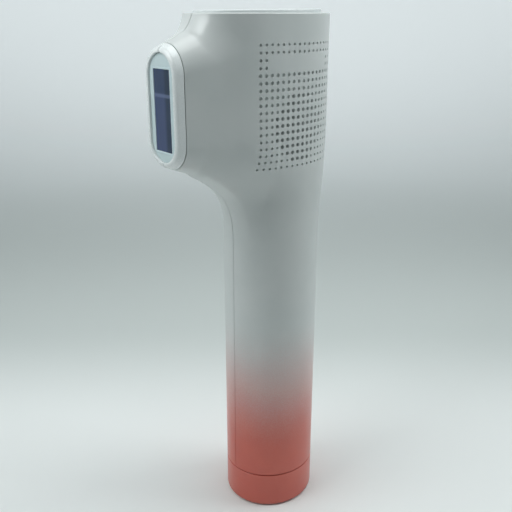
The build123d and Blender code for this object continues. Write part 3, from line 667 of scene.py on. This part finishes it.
def button_hole(half_width, low, high):
    """A cutter for a hole with a softened edge."""
    profile = [(half_width - FACE_MIDDLE, 9.0), (0.0, 9.0), (0.0, 0.15), (-0.05, 0.05), (-0.15, 0.0),
               (-0.3, -0.2), (-0.3, -2.0), (half_width - FACE_MIDDLE, -2.0)]
    return panel_plug(half_width, low, high, profile)


def make_controls():
    """The panel on the back, its two buttons and the five lights between them."""
    low, high = PANEL_Z
    profile = faced(PANEL_HALF_WIDTH, 0.0, PANEL_ROUND, PANEL_THICK)
    panel = new_piece("rear_panel", panel_plug(PANEL_HALF_WIDTH, low, high, profile))
    holes = []
    buttons = {
        "flash_button": (FLASH_HALF_WIDTH, FLASH_LENGTH / 2, FLASH_Z),
        "power_button": (POWER_R, POWER_R + STADIUM_LEAST, POWER_Z),
    }
    for name, (half_width, half_length, z) in buttons.items():
        half_hole = half_length + BUTTON_GAP
        holes.append(button_hole(half_width + BUTTON_GAP, z - half_hole, z + half_hole))
        profile = faced(half_width, -BUTTON_PROUD, BUTTON_ROUND, BUTTON_THICK)
        cap = new_piece(name + "_cap", panel_plug(half_width, z - half_length, z + half_length, profile))
        settle(cap, name, "button", name)
    for z in LED_Z:
        holes.append(button_hole(LIGHT_R, z - LIGHT_R - STADIUM_LEAST, z + LIGHT_R + STADIUM_LEAST))
    cut(panel, join(holes))
    settle(panel, "housing", "panel", "control_panel")
    radius, half_length = LIGHT_R - 2 * STADIUM_LEAST, LIGHT_R - STADIUM_LEAST
    profile = faced(radius, LIGHT_SUNK, LIGHT_ROUND, BUTTON_THICK)
    lights = [panel_plug(radius, z - half_length, z + half_length, profile, 2) for z in LED_Z]
    settle(new_piece("level_lights", join(lights)), "housing", "light_guide", "light_guides")


def settle(piece, body, slot, *nodes):
    """Fixes a piece to its body, gives it its finish and hides the CAD nodes it stands for."""
    piece.data.materials.clear()
    piece.data.materials.append(finish(slot))
    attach(piece, body)
    if nodes:
        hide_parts(*nodes)


# ======== materials ========

class Material:
    """A material under construction: its nodes and the links between them."""

    def __init__(self, name):
        self.material = bpy.data.materials.new(name)
        self.material.use_nodes = True
        self.tree = self.material.node_tree
        self.shader = self.tree.nodes["Principled BSDF"]
        self.place = self.node("ShaderNodeTexCoord").outputs["Object"]

    def node(self, kind, links=None, **settings):
        """A new node. links gives its inputs by name or number, as values or as another node's output."""
        node = self.tree.nodes.new(kind)
        for name, value in settings.items():
            setattr(node, name, value)
        for key, value in (links or {}).items():
            self.feed(node.inputs[key], value)
        return node

    def feed(self, socket, value):
        """Gives an input a value, or another node's output."""
        if isinstance(value, bpy.types.NodeSocket):
            self.tree.links.new(value, socket)
        else:
            socket.default_value = value

    def set(self, **values):
        """Gives the shader's inputs, with _ for a space in their names."""
        for name, value in values.items():
            self.feed(self.shader.inputs[name.replace("_", " ")], value)

    def noise(self, scale, detail=3.0, stretch=(1, 1, 1)):
        """Noise of about scale millimetres, stretched along the axes."""
        size = [1 / MM / scale / s for s in stretch]
        mapped = self.node("ShaderNodeMapping", {"Vector": self.place, "Scale": size}).outputs[0]
        return self.node("ShaderNodeTexNoise", {"Vector": mapped, "Scale": 1.0, "Detail": detail}).outputs[0]

    def cloud(self, scale):
        """Soft clouds of about scale millimetres, from 0 to 1."""
        return self.span(self.noise(scale), 0.0, 1.0, True, NOISE_RANGE)

    def span(self, value, low, high, smooth=False, of=(0.0, 1.0)):
        """A value taken from one range to another."""
        kind = "SMOOTHSTEP" if smooth else "LINEAR"
        links = {"Value": value, "From Min": of[0], "From Max": of[1], "To Min": low, "To Max": high}
        return self.node("ShaderNodeMapRange", links, interpolation_type=kind).outputs[0]

    def blend(self, factor, first, second):
        """A colour between two."""
        node = self.node("ShaderNodeMix", {0: factor, 6: first, 7: second}, data_type="RGBA")
        return node.outputs[2]

    def bump(self, height, depth):
        """Roughens the surface by a height map, depth in millimetres."""
        links = {"Height": height, "Distance": depth * MM, "Strength": 1.0}
        self.set(Normal=self.node("ShaderNodeBump", links).outputs[0])

    def grain(self, height, roughness, depth):
        """Lets a height map set the gloss, between two roughnesses, and the surface."""
        self.set(Roughness=self.span(height, roughness[0], roughness[1], False, NOISE_RANGE))
        self.bump(height, depth)


def moulded(name, colour, shade, roughness, grain, depth, extras):
    """A moulded finish: soft cloudy colour, fine grain in the gloss and the surface."""
    m = Material(name)
    m.set(Base_Color=m.blend(m.cloud(14.0), colour, shade))
    m.grain(m.noise(grain, 2.0), roughness, depth)
    m.set(**extras)
    return m.material


def lacquered(m, roughness):
    """Gives a colour the gloss of sprayed lacquer."""
    m.grain(m.noise(0.3, 2.0), roughness, 0.004)
    m.set(Coat_Weight=0.35, Coat_Roughness=0.22, IOR=1.5)
    return m.material


def housing_finish():
    """Satin white lacquer that fades into sprayed coral towards the foot."""
    m = Material("lacquer_white_to_coral")
    height = m.node("ShaderNodeSeparateXYZ", {"Vector": m.place}).outputs[2]
    speckle = m.span(m.noise(0.45, 1.0), -2.5 * MM, 2.5 * MM, False, NOISE_RANGE)
    drift = m.span(m.noise(22.0, 1.0), -1.5 * MM, 1.5 * MM, False, NOISE_RANGE)
    height = m.node("ShaderNodeMath", {0: height, 1: speckle}, operation="ADD").outputs[0]
    height = m.node("ShaderNodeMath", {0: height, 1: drift}, operation="ADD").outputs[0]
    coral = m.span(height, 1.0, 0.0, True, (FADE_LOW * MM, FADE_HIGH * MM))
    cloud = m.cloud(16.0)
    white = m.blend(cloud, WHITE, WHITE_SHADE)
    m.set(Base_Color=m.blend(coral, white, m.blend(cloud, CORAL, CORAL_SHADE)))
    return lacquered(m, (0.30, 0.38))


def coral_finish():
    """Satin coral lacquer."""
    m = Material("lacquer_coral")
    m.set(Base_Color=m.blend(m.cloud(12.0), CORAL, CORAL_SHADE))
    return lacquered(m, (0.32, 0.40))


def glass_finish():
    """Dark blue filter glass: a painted reflection, a paler band where it mirrors the lamp's frame, and
    painted darkening down one side.
    """
    m = Material("filter_glass")
    split = m.node("ShaderNodeSeparateXYZ", {"Vector": m.place}).outputs
    low, high = GLASS_LOW * MM, GLASS_HIGH * MM
    cloud = m.noise(3.0, 2.0, (1, 1, 3))
    up = m.span(split[2], 0.0, 1.0, False, (low[2], high[2]))
    across = m.span(split[0], 0.0, 1.0, False, (low[0], high[0]))
    upper = m.span(up, 0.0, 1.0, True, (0.70, 0.73))
    body = m.blend(upper, srgb(66, 80, 118), srgb(48, 66, 98))
    body = m.blend(m.span(cloud, 0.0, 0.35), body, srgb(78, 84, 112))
    # painted darkening down one side of the glass
    painted_dark_side = m.span(across, 0.0, 0.75, True, (0.55, 0.78))
    body = m.blend(painted_dark_side, body, srgb(38, 52, 70))
    # a painted reflection: a paler band where the glass mirrors the lamp's frame
    rises, falls = m.span(up, 0.0, 1.0, True, (0.655, 0.675)), m.span(up, 1.0, 0.0, True, (0.695, 0.715))
    painted_reflection_band = m.node("ShaderNodeMath", {0: rises, 1: falls}, operation="MULTIPLY").outputs[0]
    m.set(Base_Color=m.blend(m.span(painted_reflection_band, 0.0, 0.6), body, srgb(110, 124, 158)))
    m.set(Roughness=0.08, Specular_IOR_Level=0.5, Coat_Weight=0.5, Coat_Roughness=0.03, IOR=1.5)
    return m.material


def brushed(name, colour, shade, roughness, stretch):
    """Metal with a fine grain in one direction."""
    m = Material(name)
    lines = m.noise(0.25, 2.0, stretch)
    m.set(Base_Color=m.blend(lines, colour, shade), Metallic=1.0)
    m.grain(lines, roughness, 0.004)
    return m.material


def board_finish():
    """Green solder mask over paler copper tracks, with tinned pads."""
    m = Material("circuit_board")
    mapped = m.node("ShaderNodeMapping", {"Vector": m.place, "Scale": (900.0, 900.0, 260.0)}).outputs[0]
    links = {"Vector": mapped, "Scale": 1.0}
    cells = m.node("ShaderNodeTexVoronoi", links, feature="DISTANCE_TO_EDGE").outputs[0]
    tracks = m.span(cells, 1.0, 0.0, True, (0.06, 0.10))
    pads = m.node("ShaderNodeTexVoronoi", {"Vector": m.place, "Scale": 420.0}, feature="F1").outputs[0]
    pads = m.span(pads, 1.0, 0.0, True, (0.16, 0.20))
    mask = m.blend(tracks, srgb(22, 84, 52), srgb(44, 124, 78))
    m.set(Base_Color=m.blend(pads, mask, srgb(196, 190, 172)), Roughness=m.span(pads, 0.34, 0.22))
    m.bump(tracks, 0.02)
    return m.material


def winding_finish():
    """Enamelled copper wire, turn beside turn."""
    m = Material("copper_winding")
    mapped = m.node("ShaderNodeMapping", {"Vector": m.place, "Scale": (1500.0, 1500.0, 1500.0)}).outputs[0]
    turns = m.node("ShaderNodeTexWave", {"Vector": mapped, "Scale": 1.0}, bands_direction="Z").outputs[1]
    m.set(Base_Color=m.blend(turns, srgb(120, 56, 22), srgb(198, 112, 58)), Metallic=0.9)
    m.set(Roughness=m.span(turns, 0.4, 0.25))
    m.bump(turns, 0.05)
    return m.material


# the moulded finish of a slot: its name, colour and shade, range of roughness, and the size and depth of its
# grain in millimetres
MOULDED = {
    "cover": ("cover_white", srgb(214, 219, 219), srgb(208, 214, 214), (0.36, 0.44), 0.35, 0.006),
    "internal_plastic": ("inner_plastic", srgb(198, 200, 198), srgb(188, 191, 190), (0.5, 0.6), 0.6, 0.01),
    "black_plastic": ("black_plastic", srgb(30, 31, 33), srgb(24, 25, 27), (0.42, 0.55), 0.4, 0.01),
    "ring": ("ring_white", srgb(232, 236, 236), srgb(227, 232, 232), (0.24, 0.32), 0.3, 0.002),
    "bezel": ("bezel_white", srgb(203, 220, 222), srgb(198, 215, 218), (0.34, 0.42), 0.3, 0.003),
    "glass_border": ("glass_border", srgb(214, 230, 234), srgb(208, 225, 230), (0.14, 0.22), 0.4, 0.002),
    "gasket": ("silicone_gasket", srgb(70, 72, 76), srgb(62, 64, 68), (0.6, 0.72), 0.5, 0.012),
    "quartz": ("quartz", srgb(206, 216, 224), srgb(198, 210, 220), (0.03, 0.08), 1.0, 0.001),
    "lamp_ceramic": ("lamp_ceramic", srgb(226, 220, 208), srgb(216, 209, 196), (0.55, 0.68), 0.4, 0.01),
    "sensor": ("sensor_bead", srgb(44, 40, 38), srgb(36, 33, 31), (0.3, 0.42), 0.4, 0.006),
    "capacitor_sleeve": ("capacitor_sleeve", srgb(32, 40, 66), srgb(26, 33, 56), (0.24, 0.34), 0.8, 0.004),
    "chip": ("chip_epoxy", srgb(36, 36, 38), srgb(29, 29, 31), (0.45, 0.6), 0.25, 0.008),
    "connector": ("connector_nylon", srgb(224, 220, 206), srgb(214, 209, 194), (0.4, 0.52), 0.5, 0.006),
    "panel": ("panel_white", srgb(216, 222, 222), srgb(211, 218, 218), (0.2, 0.28), 0.3, 0.002),
    "light_guide": ("light_guide", srgb(206, 214, 214), srgb(196, 206, 207), (0.18, 0.28), 0.5, 0.002),
    "led": ("led_body", srgb(236, 226, 160), srgb(226, 214, 140), (0.3, 0.4), 0.3, 0.004),
    "button": ("button_coral", CORAL, CORAL_SHADE, (0.28, 0.36), 0.3, 0.003),
    "wire": ("wire_insulation", srgb(150, 36, 34), srgb(134, 30, 28), (0.4, 0.5), 0.5, 0.004),
}
# what the shader of some of them has besides
EXTRAS = {
    "cover": {"Coat_Weight": 0.2},
    "ring": {"Coat_Weight": 0.5},
    "quartz": {"Transmission_Weight": 0.85, "IOR": 1.46},
    "capacitor_sleeve": {"Coat_Weight": 0.4},
    "panel": {"Coat_Weight": 0.4},
    "light_guide": {"Subsurface_Weight": 0.2, "Subsurface_Radius": (0.001, 0.001, 0.001)},
    "button": {"Coat_Weight": 0.4},
}
# the metal of a slot: its name, colour and shade, range of roughness, and how its grain is stretched
BRUSHED = {
    "fastener": ("steel_screw", srgb(176, 178, 180), srgb(138, 141, 145), (0.26, 0.42), (1, 1, 4)),
    "contact_metal": ("contact_metal", srgb(206, 196, 168), srgb(180, 170, 142), (0.2, 0.32), (1, 1, 4)),
    "magnet": ("nickel_magnet", srgb(186, 187, 190), srgb(160, 162, 166), (0.14, 0.26), (1, 1, 1)),
    "reflector": ("polished_reflector", srgb(222, 224, 226), srgb(206, 209, 212), (0.06, 0.14), (1, 1, 5)),
    "heat_sink": ("anodised_sink", srgb(128, 131, 136), srgb(102, 105, 110), (0.34, 0.46), (5, 1, 1)),
}
OWN_MAKERS = {
    "housing": housing_finish,
    "housing_coral": coral_finish,
    "filter_glass": glass_finish,
    "copper": winding_finish,
    "circuit_board": board_finish,
}
FINISHES = {}


def finish(slot):
    """The material of a slot, made once."""
    if slot not in FINISHES:
        if slot in MOULDED:
            FINISHES[slot] = moulded(*MOULDED[slot], EXTRAS.get(slot, {}))
        elif slot in BRUSHED:
            FINISHES[slot] = brushed(*BRUSHED[slot])
        else:
            FINISHES[slot] = OWN_MAKERS[slot]()
    return FINISHES[slot]


def paint_frame():
    """Gives each CAD node the material of its slot."""
    for entry in frame["record"]["subparts"]:
        materials = frame["nodes"][entry["node"]].data.materials
        materials.clear()
        materials.append(finish(entry["material_slot"]))


# ======== studio ========

def make_stage():
    """A round floor that curves up into a pale wall, all of one sheet."""
    profile = [(r, 0.0) for r in (0.002, 0.06, 0.12, 0.2, 0.32, 0.45, FLOOR_R)]
    profile += [(FLOOR_R + SWEEP_R * math.sin(a), SWEEP_R * (1 - math.cos(a)))
                for a in np.linspace(0, math.pi / 2, 17)[1:]]
    profile += [(FLOOR_R + SWEEP_R, SWEEP_R + WALL_HEIGHT)]
    turn = np.linspace(0, 2 * math.pi, 96, endpoint=False)
    loops = [np.column_stack([r * np.cos(turn), r * np.sin(turn), np.full(len(turn), z)]) / MM
             for r, z in profile]
    points, faces = strip(loops)
    faces.pop()                              # open at the top
    stage = new_piece("studio_sweep", (points, faces), 60)
    stage.data.materials.append(paper_finish())


def paper_finish():
    """Pale paper with painted shade before and beyond the object, and painted light, a paler colour and a
    glow, where it is furthest away.
    """
    m = Material("studio_paper_painted_light_and_shade")
    turn = math.radians(AIM_TURN)
    beyond = m.node("ShaderNodeVectorMath", {0: m.place, 1: (-math.sin(turn), math.cos(turn), 0.0)},
                    operation="DOT_PRODUCT").outputs["Value"]
    height = m.node("ShaderNodeSeparateXYZ", {"Vector": m.place}).outputs[2]
    far = m.node("ShaderNodeMath", {0: beyond, 1: height}, operation="ADD").outputs[0]
    # painted shade in front of and just beyond the object, and painted light and a painted glow on the far
    # paper
    colour = m.blend(m.span(beyond, 1.0, 0.0, True, (-0.35, -0.06)), FLOOR_NEAR, PAINTED_SHADE_FRONT)
    colour = m.blend(m.span(beyond, 0.0, 1.0, True, (0.03, 0.16)), colour, PAINTED_SHADE_MIDDLE)
    colour = m.blend(m.span(far, 0.0, 1.0, True, (0.25, 1.0)), colour, PAINTED_LIGHT_FAR)
    m.set(Base_Color=colour, Roughness=0.85, Specular_IOR_Level=0.2)
    m.set(Emission_Color=PAINTED_GLOW, Emission_Strength=m.span(far, 0.0, PAINTED_GLOW_STRENGTH, True, (0.3, 1.25)))
    m.bump(m.noise(1.2), 0.02)
    return m.material


def aim(item, direction):
    """Points a camera or light in a direction."""
    item.rotation_mode = "QUATERNION"
    item.rotation_quaternion = Vector(direction).to_track_quat("-Z", "Y")


def make_camera():
    """The camera between the window and the vented side, level with the top and looking down."""
    data = bpy.data.cameras.new("camera")
    data.lens, data.sensor_width = LENS, 36.0
    data.clip_start, data.clip_end = 0.01, 10.0
    camera = bpy.data.objects.new("camera", data)
    bpy.context.scene.collection.objects.link(camera)
    turn = math.radians(CAMERA_TURN)
    camera.location = (CAMERA_DISTANCE * math.sin(turn), -CAMERA_DISTANCE * math.cos(turn), CAMERA_HEIGHT)
    turn, down = math.radians(AIM_TURN), math.radians(AIM_DOWN)
    aim(camera, (-math.sin(turn) * math.cos(down), math.cos(turn) * math.cos(down), -math.sin(down)))
    bpy.context.scene.camera = camera


def make_light(name, turn, rise, power, size, away):
    """A square soft light aimed at the head."""
    data = bpy.data.lights.new(name, "AREA")
    data.shape, data.size, data.energy, data.color = "SQUARE", size, power, LIGHT_TINT
    light = bpy.data.objects.new(name, data)
    light.visible_camera = False
    bpy.context.scene.collection.objects.link(light)
    turn, rise = math.radians(turn - AIM_TURN), math.radians(rise)
    direction = Vector((math.sin(turn) * math.cos(rise), math.cos(turn) * math.cos(rise), math.sin(rise)))
    light.location = Vector((0, 0, LIGHT_TARGET)) + direction * away
    aim(light, -direction)


def make_studio():
    """The stage, the camera, the lights and a faint sky."""
    make_stage()
    make_camera()
    for name, values in LIGHTS.items():
        make_light(name, *values)
    world = bpy.data.worlds.new("studio")
    world.use_nodes = True
    background = world.node_tree.nodes["Background"]
    background.inputs[0].default_value = SKY_TINT
    background.inputs[1].default_value = SKY_STRENGTH
    bpy.context.scene.world = world
    bpy.context.scene.view_settings.view_transform = "Standard"


make_studio()
paint_frame()
make_shells()
make_cap()
make_cover()
make_ring()
make_bezel()
make_glass()
make_controls()
